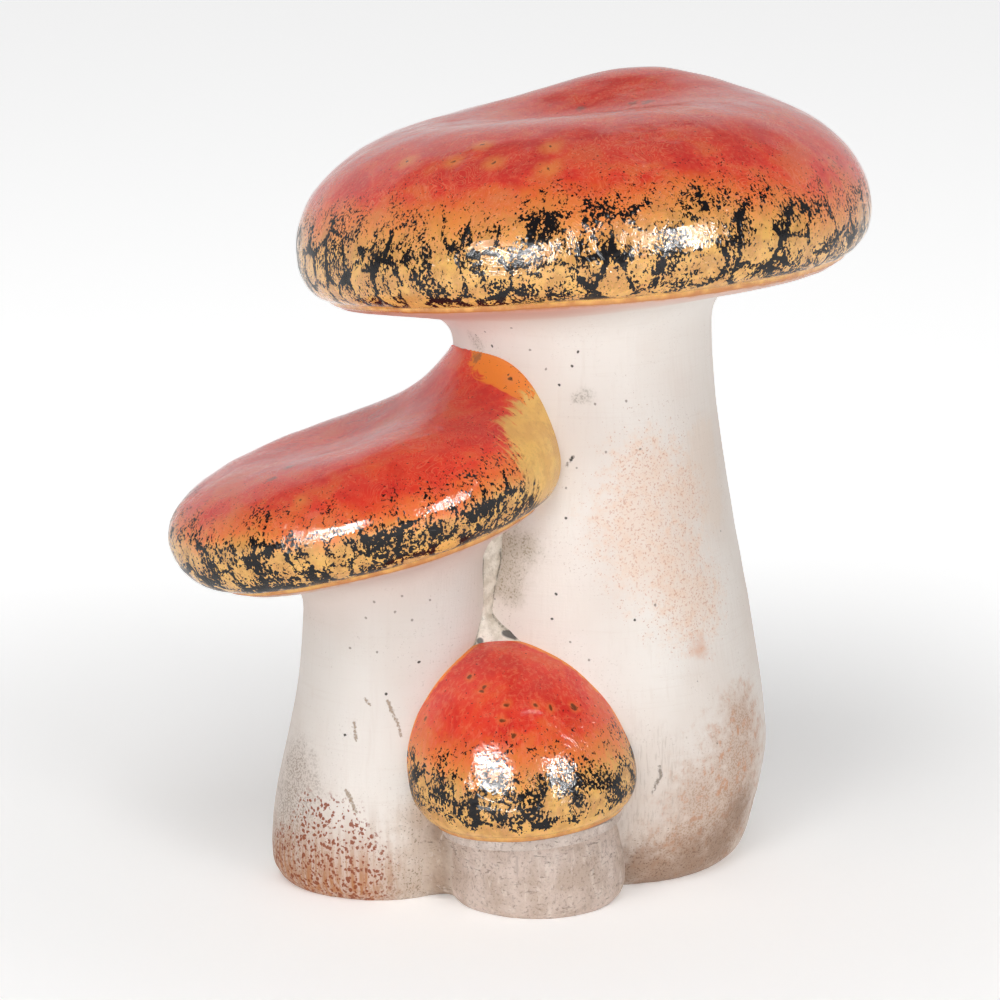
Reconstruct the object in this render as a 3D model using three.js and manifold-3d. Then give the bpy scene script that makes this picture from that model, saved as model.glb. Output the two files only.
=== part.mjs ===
// Mushroom ornament in fired clay: a large, a medium and a small mushroom that share one foot.
// Each mushroom is three hollow castings: a stem, a plate under the cap and a domed crown.
// Beads of slip close the joints. Millimetres, +Z up, the front faces -Y.

import * as THREE from "three";
import { mergeVertices } from "three/addons/utils/BufferGeometryUtils.js";
import Module from "manifold-3d";

const wasm = await Module();
wasm.setup();

// Clay sizes shared by every piece
const slipGap = 0.3; // room for the slip between two castings
const seat = 2.6; // how far the plate under a cap reaches in over its stem's top
const rimLip = 1; // edge thickness of the plate under a cap
const rimInset = 1; // how far the plate's edge stands in from the crown's
const feather = 0.35; // edge thickness of a smoothed bead
const footRing = 4; // width of the flat ring that each stem stands on
const ringSegments = 32;
const beadSegments = 14;

// Each stem is a list of [height, radius] up to its neck, its lean from foot to neck, and an oval section.
const large = {
  name: "large",
  foot: { x: 0, y: 0 },
  stem: {
    sections: [[0, 33], [3, 35.8], [9, 38.1], [28, 42.1], [40, 42.1], [64, 39.6], [96, 35.8], [128, 33]],
    neckRadius: 32.6,
    neckDrop: 13, // from the middle of the cap down to the neck
    lean: { x: -6.5, y: 3 },
    oval: 0,
    wall: 6,
  },
  cap: {
    radius: 72.3,
    crownHeight: 33.6,
    fullness: 2.8, // a higher power gives squarer shoulders
    rimDrop: 9, // from the widest line down to the rim
    rimCurl: 7.5, // how far the rim turns inwards below the widest line
    droop: 2.4, // extra rim drop at both ends of one diameter
    droopBearing: 155,
    neckDepth: 10.5, // from the rim down to the neck
    wall: 5,
    offset: { x: 0, y: -7 }, // from the stem's neck to the cap's centre
    centreHeight: 163,
    tilt: { front: 3, side: 5.9 }, // front edge up, right edge up, in degrees
    lean: { x: 0, y: 0 },
    outline: { lobes: 3, depth: 0.008, bearing: 20 },
    dimple: { x: 4, y: 0, depth: 7, width: 22, stretch: 1.5 },
    crest: { x: 20, y: 26, height: 6, width: 27 },
    climb: { height: 0, reach: 12 },
  },
  fillet: { reach: 9, drop: 8 }, // slip in the corner under the cap
};

const medium = {
  name: "medium",
  bearing: 199.5, // from the large stem, in degrees from +X
  bite: 7.4, // how far the stem is let into the large one
  stem: {
    sections: [[0, 24], [3, 26], [9, 26.8], [23, 26.1], [39, 24.2], [52, 23.1]],
    neckRadius: 23.1,
    neckDrop: 3.5,
    lean: { x: 6, y: -1 },
    oval: 0.01,
    wall: 5,
  },
  cap: {
    radius: 49.5,
    crownHeight: 16.2,
    fullness: 3.4,
    rimDrop: 11.5,
    rimCurl: 10,
    droop: 1,
    droopBearing: 180,
    neckDepth: 6,
    wall: 4.5,
    offset: { x: -8.4, y: 1.5 },
    centreHeight: 99.5,
    tilt: { front: 0, side: 15 },
    lean: { x: 0, y: 0 },
    outline: { lobes: 2, depth: 0.035, bearing: -5 },
    dimple: { x: -4, y: 6, depth: 3.5, width: 20, stretch: 1.3 },
    crest: { x: 0, y: 0, height: 0, width: 20 },
    climb: { height: 14, reach: 8.5 }, // the cap turns up where it meets the large stem
  },
  fillet: { reach: 6, drop: 9 },
};

const small = {
  name: "small",
  bearing: 243.9,
  bite: 23.7,
  stem: {
    sections: [[0, 20.8], [2, 22], [6, 22.6], [14, 22.2]],
    neckRadius: 21,
    neckDrop: 8,
    lean: { x: -1.5, y: 0 },
    oval: 0,
    wall: 5,
  },
  cap: {
    radius: 28.8,
    crownHeight: 31.5,
    fullness: 2.1,
    rimDrop: 9,
    rimCurl: 4.5,
    droop: 0.5,
    droopBearing: 200,
    neckDepth: 1.5,
    wall: 3,
    offset: { x: -2.2, y: -1 },
    centreHeight: 33,
    tilt: { front: -2, side: 5 },
    lean: { x: -3, y: 6 },
    outline: { lobes: 2, depth: 0.01, bearing: 0 },
    dimple: { x: 0, y: 0, depth: 0, width: 20, stretch: 1 },
    crest: { x: 0, y: 0, height: 0, width: 20 },
    climb: { height: 0, reach: 12 },
  },
  fillet: { reach: 1.8, drop: 2 },
};

// Slip beads that fill the grooves between the castings: [height, radius] up each groove, the radius
// at the bead's top, and how far the bead is pressed into the groove. Each runs up into a cap.
// The front bead stands on the small cap, so its heights and its toes' drops are from that cap's top.
const seamCorner = 2; // depth of a groove's corner that only its bead fills
const underground = 4; // a bead starts this far down, and is cut off at the ground
const frontSeam = {
  sections: [[-6.5, 3.2], [1.5, 2.4], [7.5, 1.8], [17.5, 2.5], [27.5, 3]],
  topRadius: 3,
  sink: 0.8,
};
const frontToes = [
  { along: -2.8, drop: 1.9, size: { x: 3.2, y: 3, z: 3.8 } },
  { along: 4.2, drop: 2.1, size: { x: 4.4, y: 3, z: 3.4 } },
];
const backSeam = { sections: [[-underground, 3.8], [30, 3.4], [70, 3.4]], topRadius: 3.6, sink: 1.5 };
const footSeam = { sections: [[-underground, 5.6], [8, 5], [16, 4.2]], topRadius: 3, sink: 1.5 };

const radians = THREE.MathUtils.degToRad;
const smoothstep = THREE.MathUtils.smoothstep;

// Value at x of a smooth curve through [x, value] pairs.
function through(pairs, x) {
  const last = pairs.length - 1;
  const i = Math.max(0, Math.min(last - 1, pairs.findIndex(([start]) => start > x) - 1));
  const index = x >= pairs[last][0] ? last - 1 : i;
  const slope = (k) => {
    const a = pairs[Math.max(k - 1, 0)];
    const b = pairs[Math.min(k + 1, last)];
    return (b[1] - a[1]) / (b[0] - a[0]);
  };
  const [x0, y0] = pairs[index];
  const [x1, y1] = pairs[index + 1];
  const span = x1 - x0;
  const t = THREE.MathUtils.clamp((x - x0) / span, 0, 1);
  const t2 = t * t;
  const t3 = t2 * t;
  return (
    (2 * t3 - 3 * t2 + 1) * y0 +
    (t3 - 2 * t2 + t) * span * slope(index) +
    (3 * t2 - 2 * t3) * y1 +
    (t3 - t2) * span * slope(index + 1)
  );
}

// A list of [height, radius] that ends at a top height, without the pairs that lie too near it.
function endedAt(sections, top, radius) {
  const least = 1;
  return [...sections.filter(([height]) => height < top - least), [top, radius]];
}

const topOf = ({ stem, cap }) => cap.centreHeight - stem.neckDrop;
const sectionsOf = (mushroom) => endedAt(mushroom.stem.sections, topOf(mushroom), mushroom.stem.neckRadius);
const radiusOf = (mushroom, z) => through(sectionsOf(mushroom), z);
const footRadius = ({ stem }) => Math.max(...stem.sections.slice(0, 4).map(([, radius]) => radius));

// The medium and small stems stand against the large one on their bearing.
for (const mushroom of [medium, small]) {
  const distance = footRadius(large) + footRadius(mushroom) - mushroom.bite;
  mushroom.foot = {
    x: large.foot.x + distance * Math.cos(radians(mushroom.bearing)),
    y: large.foot.y + distance * Math.sin(radians(mushroom.bearing)),
  };
}

// Centre and half-widths of a stem's section at a height.
function section(mushroom, z) {
  const { stem, foot } = mushroom;
  const radius = radiusOf(mushroom, z);
  const share = smoothstep(z, 0, topOf(mushroom));
  return {
    x: foot.x + stem.lean.x * share,
    y: foot.y + stem.lean.y * share,
    rx: radius * (1 + stem.oval),
    ry: radius * (1 - stem.oval),
  };
}

// How far a point lies outside a stem's wall, measured level.
function clearOf(mushroom, x, y, z) {
  const { x: cx, y: cy, rx, ry } = section(mushroom, z);
  const bearing = Math.atan2((y - cy) / ry, (x - cx) / rx);
  const wall = Math.hypot(rx * Math.cos(bearing), ry * Math.sin(bearing));
  return Math.hypot(x - cx, y - cy) - wall;
}

// A closed profile of [radius, height] turned about Z, each point then moved by the warp.
function turned(profile, warp, segments = ringSegments) {
  const points = profile.map(([radius, height]) => new THREE.Vector2(radius, height));
  const geometry = new THREE.LatheGeometry(points, segments);
  geometry.rotateX(Math.PI / 2);
  geometry.deleteAttribute("normal");
  geometry.deleteAttribute("uv");
  const position = geometry.getAttribute("position");
  const vertex = new THREE.Vector3();
  for (let i = 0; i < position.count; i++) {
    vertex.fromBufferAttribute(position, i);
    warp(vertex);
    position.setXYZ(i, vertex.x, vertex.y, vertex.z);
  }
  return mergeVertices(geometry, 1e-4);
}

// A profile that runs from the top down, moved square to itself.
function moved(profile, distance) {
  return profile.map(([radius, height], i) => {
    const [r0, h0] = profile[Math.max(i - 1, 0)];
    const [r1, h1] = profile[Math.min(i + 1, profile.length - 1)];
    const length = Math.hypot(r1 - r0, h1 - h0);
    const out = [-(h1 - h0) / length, (r1 - r0) / length];
    return [Math.max(0, radius + distance * out[0]), height + distance * out[1]];
  });
}

// Stem: lathe heights are real heights, and the radius is a share of the section's.
const stemHeights = (mushroom) => {
  const toe = [0, 1.2, 3, 5.5];
  const top = topOf(mushroom);
  const rings = 2 + Math.round(top / 22);
  const body = Array.from({ length: rings }, (_, i) => 9 + ((top - 9) * i) / (rings - 1));
  return [...toe, ...body];
};

function stemWarp(mushroom, outset = 0) {
  return (v) => {
    const { x, y, rx, ry } = section(mushroom, Math.max(0, v.z));
    const radius = Math.hypot(v.x, v.y);
    const nominal = (rx + ry) / 2;
    const grow = radius > 0 ? (radius + outset) / radius : 1;
    v.set(x + (v.x * grow * rx) / nominal, y + (v.y * grow * ry) / nominal, v.z);
  };
}

// The hollow stem, open at its foot and at its neck.
function stemShell(mushroom) {
  const heights = stemHeights(mushroom);
  const outer = heights.map((z) => [radiusOf(mushroom, z), z]);
  const levels = [9, topOf(mushroom) / 2, topOf(mushroom)];
  const inner = levels.map((z) => [radiusOf(mushroom, z) - mushroom.stem.wall, z]);
  inner.unshift([radiusOf(mushroom, 0) - footRing, 0]);
  const loop = [...outer, ...inner.reverse()];
  return turned([...loop, loop[0]], stemWarp(mushroom));
}

// The stem's outside as a plain solid, grown by outset, past both ends.
function stemPlug(mushroom, outset) {
  const overrun = 12;
  const heights = stemHeights(mushroom);
  const outer = heights.map((z) => [radiusOf(mushroom, z), z]);
  const profile = [
    [0, -overrun],
    [outer[0][0], -overrun],
    ...outer,
    [outer.at(-1)[0], topOf(mushroom) + overrun],
    [0, topOf(mushroom) + overrun],
  ];
  return turned(profile, stemWarp(mushroom, outset));
}

// Cap: profiles are [radius, height] about the cap's own axis, height 0 on the widest line.
function crownProfile(cap) {
  const rings = 9;
  const dome = Array.from({ length: rings }, (_, i) => {
    const radius = cap.radius * Math.sin(((i / rings) * Math.PI) / 2);
    const share = 1 - (radius / cap.radius) ** cap.fullness;
    return [radius, cap.crownHeight * Math.sqrt(share)];
  });
  const rim = [0, 0.35, 0.7, 1].map((share) => {
    const turn = share * radians(80);
    return [cap.radius - cap.rimCurl * (1 - Math.cos(turn)), -cap.rimDrop * Math.sin(turn)];
  });
  return [...dome, ...rim];
}

// Radius and height of the rim's lower edge, and the slope of the plate from there to the neck.
function plate(mushroom) {
  const [crownEdge, rimHeight] = crownProfile(mushroom.cap).at(-1);
  const rimRadius = crownEdge - rimInset;
  const neckRadius = radiusOf(mushroom, mushroom.cap.centreHeight - mushroom.cap.rimDrop);
  const slope = (mushroom.cap.neckDepth - rimLip) / (rimRadius - neckRadius);
  const under = (radius) => rimHeight - slipGap - rimLip - slope * (rimRadius - radius);
  return { rimRadius, rimHeight, neckRadius, slope, under };
}

// Gives a cap its outline, droop, dimple, crest and lean in its own frame.
function capWarp(mushroom) {
  const { cap } = mushroom;
  const { neckRadius, rimRadius, rimHeight, under } = plate(mushroom);
  const toLocal = capMatrix(mushroom).invert();
  const stemCentre = (height) => {
    const { x, y } = section(mushroom, cap.centreHeight + height);
    return new THREE.Vector3(x, y, cap.centreHeight + height).applyMatrix4(toLocal);
  };
  const neck = stemCentre(under(neckRadius));
  const slant = stemCentre(under(neckRadius) - 5).sub(neck).divideScalar(-5);
  const stretchX = 1 / Math.cos(radians(cap.tilt.side)) - 1;
  const stretchY = 1 / Math.cos(radians(cap.tilt.front)) - 1;
  const upper = (h) => smoothstep(h, 0, cap.crownHeight / 2);
  return (v) => {
    const bearing = Math.atan2(v.y, v.x);
    const low = THREE.MathUtils.clamp(-v.z / cap.rimDrop, 0, 1);
    const edge = smoothstep(Math.hypot(v.x, v.y), neckRadius, rimRadius);
    const side = Math.cos(bearing - radians(cap.droopBearing)) ** 2 * low * edge;
    const lobe = Math.cos(cap.outline.lobes * (bearing - radians(cap.outline.bearing)));
    const grow = 1 + cap.outline.depth * lobe * edge;
    const up = upper(v.z);
    const across = (v.x - cap.dimple.x) / cap.dimple.stretch;
    const dimple = Math.exp(-(across ** 2 + (v.y - cap.dimple.y) ** 2) / cap.dimple.width ** 2);
    const crest = Math.exp(-((v.x - cap.crest.x) ** 2 + (v.y - cap.crest.y) ** 2) / cap.crest.width ** 2);
    const lean = v.z / cap.crownHeight;
    const toNeck = v.z < rimHeight ? 1 - edge : 0;
    const below = v.z - neck.z;
    v.set(
      v.x * grow + cap.lean.x * lean + (neck.x + slant.x * below + stretchX * v.x) * toNeck,
      v.y * grow + cap.lean.y * lean + (neck.y + slant.y * below + stretchY * v.y) * toNeck,
      v.z - side * cap.droop - up * (cap.dimple.depth * dimple - cap.crest.height * crest),
    );
  };
}

// Matrix that stands a cap on its stem's neck.
function capMatrix(mushroom) {
  const { cap } = mushroom;
  const neck = section(mushroom, topOf(mushroom));
  const turn = new THREE.Euler(radians(-cap.tilt.front), radians(-cap.tilt.side), 0);
  const place = new THREE.Vector3(neck.x + cap.offset.x, neck.y + cap.offset.y, cap.centreHeight);
  return new THREE.Matrix4().makeRotationFromEuler(turn).setPosition(place);
}

// How much the top of a cap rises at a point near the large stem.
function climb(mushroom, { x, y, z }) {
  const { height, reach } = mushroom.cap.climb;
  return height * Math.exp(-Math.max(0, clearOf(large, x, y, z)) / reach);
}

// A cap piece, turned, warped and set on its stem.
function capPiece(mushroom, profile) {
  const warp = capWarp(mushroom);
  const matrix = capMatrix(mushroom);
  return turned(profile, (v) => {
    const share = smoothstep(v.z, 0, mushroom.cap.crownHeight);
    warp(v);
    v.applyMatrix4(matrix);
    v.z += share * climb(mushroom, v);
  });
}

function crownShell(mushroom) {
  const outer = crownProfile(mushroom.cap);
  const [, rimHeight] = outer.at(-1);
  const coarse = moved(outer, -mushroom.cap.wall).filter((_, i) => i % 2 === 0);
  const inner = coarse.filter(([, height]) => height > rimHeight);
  inner.push([inner.at(-1)[0], rimHeight]);
  return capPiece(mushroom, [...inner, ...outer.reverse()]);
}

function underPlate(mushroom) {
  const { rimRadius, rimHeight, neckRadius, slope, under } = plate(mushroom);
  const hole = neckRadius - seat;
  const steps = [1, 0.7, 0.4, 0.15, 0];
  const below = steps.map((share) => {
    const radius = neckRadius + (rimRadius - neckRadius) * share;
    return [radius, under(radius)];
  });
  const top = rimHeight - slipGap;
  const shelf = Math.min(rimRadius - (mushroom.cap.wall - rimLip) / slope, rimRadius - 1);
  const above = shelf > hole + 1 ? [[hole, under(hole) + mushroom.cap.wall], [shelf, top]] : [[hole, top]];
  const edge = [rimRadius, top];
  const loop = [edge, ...below, [hole, under(neckRadius)], ...above, edge];
  return capPiece(mushroom, loop.reverse());
}

// The whole cap as a plain solid, grown by outset.
function capPlug(mushroom, outset) {
  const { neckRadius, rimRadius, under } = plate(mushroom);
  const below = [
    [rimRadius, under(rimRadius)],
    [neckRadius, under(neckRadius)],
    [0, under(neckRadius)],
  ];
  const profile = moved([...crownProfile(mushroom.cap), ...below], outset);
  profile[0][0] = 0;
  profile[profile.length - 1][0] = 0;
  return capPiece(mushroom, profile.reverse());
}

// Fillet of slip in the corner between the stem and the plate.
function neckFillet(mushroom) {
  const { neckRadius, under } = plate(mushroom);
  const { reach, drop } = mushroom.fillet;
  const inside = neckRadius * 0.8;
  const curve = [0, 0.2, 0.4, 0.6, 0.8, 1].map((share) => {
    const turn = (share * Math.PI) / 2;
    const radius = neckRadius + slipGap + feather + reach * (1 - Math.sin(turn));
    return [radius, under(radius) - slipGap - feather - drop * (1 - Math.cos(turn))];
  });
  const profile = [
    [inside, under(neckRadius) - slipGap],
    [neckRadius, under(neckRadius) - slipGap],
    [curve[0][0], under(curve[0][0]) - slipGap],
    ...curve,
    [inside, curve.at(-1)[1]],
  ];
  return capPiece(mushroom, [...profile, profile[0]].reverse());
}

// A geometry as a solid for joining and cutting, and back again.
function solid(geometry) {
  return new wasm.Manifold(
    new wasm.Mesh({
      numProp: 3,
      vertProperties: new Float32Array(geometry.getAttribute("position").array),
      triVerts: new Uint32Array(geometry.index.array),
    }),
  );
}

function geometryOf(body) {
  const mesh = body.getMesh();
  const geometry = new THREE.BufferGeometry();
  geometry.setAttribute("position", new THREE.BufferAttribute(new Float32Array(mesh.vertProperties), 3));
  geometry.setIndex(new THREE.BufferAttribute(new Uint32Array(mesh.triVerts), 1));
  return geometry;
}

function closed(geometry) {
  geometry.deleteAttribute("normal");
  geometry.deleteAttribute("uv");
  return solid(mergeVertices(geometry, 1e-4));
}

// Everything above the ground that could hold the ornament.
function aboveGround() {
  const reach = 400;
  const box = new THREE.BoxGeometry(reach, reach, reach);
  box.translate(0, 0, reach / 2);
  return closed(box);
}

// The groove at a height where the walls of two stems meet, on the given side of the line between them.
function groove(a, b, z, side, outset) {
  const from = section(a, z);
  const to = section(b, z);
  const heading = Math.atan2(to.y - from.y, to.x - from.x);
  const onWall = (turn) => {
    const bearing = heading + side * turn;
    return new THREE.Vector3(
      from.x + (from.rx + outset) * Math.cos(bearing),
      from.y + (from.ry + outset) * Math.sin(bearing),
      z,
    );
  };
  let inner = 0;
  let outer = Math.PI / 2;
  for (let i = 0; i < 30; i++) {
    const middle = (inner + outer) / 2;
    const point = onWall(middle);
    if (clearOf(b, point.x, point.y, z) < outset) inner = middle;
    else outer = middle;
  }
  return onWall(inner);
}

// A round bead of slip up a groove between two stems, grown by outset.
function bead(a, b, side, { sections, sink }, outset) {
  const rings = 8;
  const from = sections[0][0];
  const to = sections.at(-1)[0];
  const wall = Array.from({ length: rings }, (_, i) => {
    const z = from + ((to - from) * i) / (rings - 1);
    return [through(sections, z) + outset, z];
  });
  const follow = (v) => {
    const centre = groove(a, b, Math.max(0, v.z), side, through(sections, v.z) - sink);
    v.x += centre.x;
    v.y += centre.y;
  };
  return solid(turned([[0, from], ...wall, [0, to]], follow, beadSegments));
}

function clay(name, color, roughness) {
  return new THREE.MeshStandardMaterial({ name, color, roughness, metalness: 0 });
}

const material = {
  body: clay("white_clay", 0xe6dfd8, 0.6),
  foot: clay("raw_clay", 0xc9b5a6, 0.8),
  crown: clay("glazed_crown", 0xd2452b, 0.15),
  slip: clay("slip", 0xd6cfc2, 0.7),
};

const plugs = new Map();
function plug(mushroom, kind, outset) {
  const key = [mushroom.name, kind, outset].join();
  if (!plugs.has(key)) plugs.set(key, solid((kind === "stem" ? stemPlug : capPlug)(mushroom, outset)));
  return plugs.get(key);
}

const group = new THREE.Group();
group.name = "mushroom_ornament";

function add(name, body, finish) {
  const mesh = new THREE.Mesh(geometryOf(body), finish);
  mesh.name = name;
  group.add(mesh);
}

const topOfCap = ({ cap }) => cap.centreHeight + cap.crownHeight;

// A seam whose heights are from a base, ended in the middle of the cap that it runs up into.
function seamUpTo(mushroom, seam, base = 0) {
  const sections = seam.sections.map(([height, radius]) => [base + height, radius]);
  return { sections: endedAt(sections, mushroom.cap.centreHeight, seam.topRadius), sink: seam.sink };
}

const seams = {
  front: seamUpTo(medium, frontSeam, topOfCap(small)),
  back: seamUpTo(medium, backSeam),
  foot: seamUpTo(small, footSeam),
};

// Pieces a mushroom is let into: the small one gives way to both others, the medium one to the large one.
const holders = new Map([
  [large, []],
  [medium, [large]],
  [small, [large, medium]],
]);

function cutBack(body, mushroom) {
  const taken = (holder) => ["stem", "cap"].map((kind) => plug(holder, kind, slipGap));
  return holders.get(mushroom).flatMap(taken).reduce((left, held) => left.subtract(held), body);
}

// The fillet under the large cap stops at the medium cap, and the one under that at the seams.
function clearOfNeighbours(fillet, mushroom) {
  if (mushroom === large) return fillet.subtract(plug(medium, "cap", slipGap));
  if (mushroom === small) return fillet.subtract(bead(medium, small, -1, seams.foot, slipGap));
  return fillet
    .subtract(plug(large, "stem", seamCorner))
    .subtract(bead(large, medium, 1, seams.front, slipGap))
    .subtract(bead(large, medium, -1, seams.back, slipGap));
}

for (const mushroom of [large, medium, small]) {
  const { name } = mushroom;
  const bodyFinish = mushroom === small ? material.foot : material.body;
  const stem = plug(mushroom, "stem", slipGap);
  const shell = solid(stemShell(mushroom)).subtract(plug(mushroom, "cap", slipGap));
  add(name + "_stem", cutBack(shell, mushroom), bodyFinish);
  add(name + "_cap_underside", cutBack(solid(underPlate(mushroom)), mushroom), bodyFinish);
  add(name + "_cap_crown", cutBack(solid(crownShell(mushroom)), mushroom), material.crown);
  const fillet = cutBack(solid(neckFillet(mushroom)).subtract(stem), mushroom);
  add(name + "_neck_fillet", clearOfNeighbours(fillet, mushroom), material.slip);
}

// Front groove between the medium and large stems, with two toes pinched out over the small cap.
const toes = frontToes.map(({ along, drop, size }) => {
  const toe = new THREE.SphereGeometry(1, 14, 8);
  toe.scale(size.x, size.y, size.z);
  const root = groove(large, medium, topOfCap(small) - drop, 1, frontSeam.sink);
  toe.translate(root.x + along, root.y, root.z);
  return closed(toe);
});
const frontBead = toes
  .reduce((all, toe) => all.add(toe), bead(large, medium, 1, seams.front, 0))
  .subtract(plug(large, "stem", slipGap))
  .subtract(plug(medium, "stem", slipGap))
  .subtract(plug(small, "cap", slipGap))
  .subtract(plug(medium, "cap", slipGap));
add("stem_seam_front", frontBead, material.slip);

const backBead = bead(large, medium, -1, seams.back, 0)
  .intersect(aboveGround())
  .subtract(plug(large, "stem", slipGap))
  .subtract(plug(medium, "stem", slipGap))
  .subtract(plug(medium, "cap", slipGap));
add("stem_seam_back", backBead, material.slip);

// Groove on the left of the small stem, from the ground up to its cap.
const footBead = bead(medium, small, -1, seams.foot, 0)
  .intersect(aboveGround())
  .subtract(plug(large, "stem", slipGap))
  .subtract(plug(medium, "stem", slipGap))
  .subtract(plug(small, "stem", slipGap))
  .subtract(plug(small, "cap", slipGap));
add("foot_seam", footBead, material.foot);

// Stand the ornament on its base, centred.
const box = new THREE.Box3().setFromObject(group);
group.position.set(-(box.min.x + box.max.x) / 2, -(box.min.y + box.max.y) / 2, -box.min.z);

export default group;
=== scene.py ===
"""A clump of glazed clay mushrooms on a plain pale floor.

Each piece is a fine version of the solid that it stands for, built from the same sizes.
Shapes are worked out in millimetres from the middle of the large stem's foot.
"""

import math
from types import SimpleNamespace

import bpy
import numpy as np
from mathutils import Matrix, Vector, noise


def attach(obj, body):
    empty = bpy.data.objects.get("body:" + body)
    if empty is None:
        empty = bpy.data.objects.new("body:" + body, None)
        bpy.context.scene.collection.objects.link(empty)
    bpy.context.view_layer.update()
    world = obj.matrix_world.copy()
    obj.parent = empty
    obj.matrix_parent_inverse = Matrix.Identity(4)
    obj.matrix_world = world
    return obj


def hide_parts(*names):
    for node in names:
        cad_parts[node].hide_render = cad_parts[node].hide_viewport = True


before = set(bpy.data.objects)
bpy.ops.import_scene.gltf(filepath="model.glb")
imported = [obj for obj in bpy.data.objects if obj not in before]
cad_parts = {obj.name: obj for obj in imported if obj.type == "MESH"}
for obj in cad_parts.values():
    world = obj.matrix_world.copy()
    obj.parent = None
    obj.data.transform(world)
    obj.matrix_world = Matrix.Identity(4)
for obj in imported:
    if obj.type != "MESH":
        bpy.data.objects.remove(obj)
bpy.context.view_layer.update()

MM = 0.001
TAU = 2 * math.pi
SCENE = bpy.context.scene


# Sizes of the mushrooms, in millimetres and degrees, as in the solids

def columns(**table):
    """What a table says about the large, the medium and the small mushroom, one by one."""
    return [SimpleNamespace(**{key: row[i] for key, row in table.items()}) for i in range(3)]


LARGE, MEDIUM, SMALL = columns(
    name=("large", "medium", "small"),
    bearing=(0, 199.5, 243.9),
    bite=(0, 7.4, 23.7),
    sections=(
        [(0, 33), (3, 35.8), (9, 38.1), (28, 42.1), (40, 42.1), (64, 39.6), (96, 35.8), (128, 33)],
        [(0, 24), (3, 26), (9, 26.8), (23, 26.1), (39, 24.2), (52, 23.1)],
        [(0, 20.8), (2, 22), (6, 22.6), (14, 22.2)],
    ),
    neck_radius=(32.6, 23.1, 21),
    neck_drop=(13, 3.5, 8),
    stem_lean=((-6.5, 3), (6, -1), (-1.5, 0)),
    oval=(0, 0.01, 0),
    stem_wall=(6, 5, 5),
    radius=(72.3, 49.5, 28.8),
    crown_height=(33.6, 16.2, 31.5),
    fullness=(2.8, 3.4, 2.1),
    rim_drop=(9, 11.5, 9),
    rim_curl=(7.5, 10, 4.5),
    droop=(2.4, 1, 0.5),
    droop_bearing=(155, 180, 200),
    neck_depth=(10.5, 6, 1.5),
    wall=(5, 4.5, 3),
    offset=((0, -7), (-8.4, 1.5), (-2.2, -1)),
    centre_height=(163, 99.5, 33),
    tilt=((3, 5.9), (0, 15), (-2, 5)),
    cap_lean=((0, 0), (0, 0), (-3, 6)),
    lobes=(3, 2, 2),
    lobe_depth=(0.008, 0.035, 0.01),
    lobe_bearing=(20, -5, 0),
    dimple=((4, 0), (-4, 6), (0, 0)),
    dimple_depth=(7, 3.5, 0),
    dimple_width=(22, 20, 20),
    dimple_stretch=(1.5, 1.3, 1),
    crest=((20, 26), (0, 0), (0, 0)),
    crest_height=(6, 0, 0),
    crest_width=(27, 20, 20),
    climb=(0, 14, 0),
    climb_reach=(12, 8.5, 12),
    fillet=((9, 8), (6, 9), (1.8, 2)),
)
LARGE.holders, MEDIUM.holders, SMALL.holders = (), (LARGE,), (LARGE, MEDIUM)
SLIP_GAP = 0.3
RIM_LIP = 1.0
RIM_INSET = 1.0
RIM_TURN = math.radians(80)  # how far the solid crown's rim curls round
LIP_TURN = math.radians(84)  # and the fine one's, before its lip
FOOT_RING = 4.0
FOOT_ROUND = 0.015  # how much narrower a stem is on the floor than just above it
PLATE_DEPTH = 2.5
NECK_SLIP_DEPTH = 1.0
EMBED = 0.8  # how far a piece that meets a stem runs on below the stem's surface
FAR = 60.0  # stands for a distance to an edge that is too far away to matter


def smoothstep(x, low, high):
    t = np.clip((x - low) / (high - low), 0, 1)
    return t * t * (3 - 2 * t)


def through(pairs, x):
    """The value at x of a smooth curve through pairs of (x, value)."""
    xs, ys = np.array(pairs, float).T
    last = len(xs) - 1
    before = np.maximum(np.arange(last + 1) - 1, 0)
    after = np.minimum(np.arange(last + 1) + 1, last)
    slopes = (ys[after] - ys[before]) / (xs[after] - xs[before])
    i = np.clip(np.searchsorted(xs, x, side="right") - 1, 0, last - 1)
    span = xs[i + 1] - xs[i]
    t = np.clip((x - xs[i]) / span, 0, 1)
    rise = (2 * t**3 - 3 * t**2 + 1) * ys[i] + (3 * t**2 - 2 * t**3) * ys[i + 1]
    return rise + span * ((t**3 - 2 * t**2 + t) * slopes[i] + (t**3 - t**2) * slopes[i + 1])


def neck_height(m):
    return m.centre_height - m.neck_drop


def stem_radius(m, z):
    return through(m.sections + [(neck_height(m), m.neck_radius)], z)


def place_feet():
    LARGE.foot = (0.0, 0.0)
    widest = lambda m: max(radius for _, radius in m.sections[:4])
    for m in (MEDIUM, SMALL):
        distance = widest(LARGE) + widest(m) - m.bite
        turn = math.radians(m.bearing)
        m.foot = (distance * math.cos(turn), distance * math.sin(turn))


place_feet()


def section(m, z):
    """Centre and half-widths of a stem at heights z."""
    share = smoothstep(z, 0, neck_height(m))
    radius = stem_radius(m, z)
    return (
        m.foot[0] + m.stem_lean[0] * share,
        m.foot[1] + m.stem_lean[1] * share,
        radius * (1 + m.oval),
        radius * (1 - m.oval),
    )


def clear_of(m, points):
    """How far points lie outside a stem's wall, measured level."""
    cx, cy, rx, ry = section(m, points[..., 2])
    x, y = points[..., 0] - cx, points[..., 1] - cy
    turn = np.arctan2(y / ry, x / rx)
    return np.hypot(x, y) - np.hypot(rx * np.cos(turn), ry * np.sin(turn))


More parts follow.
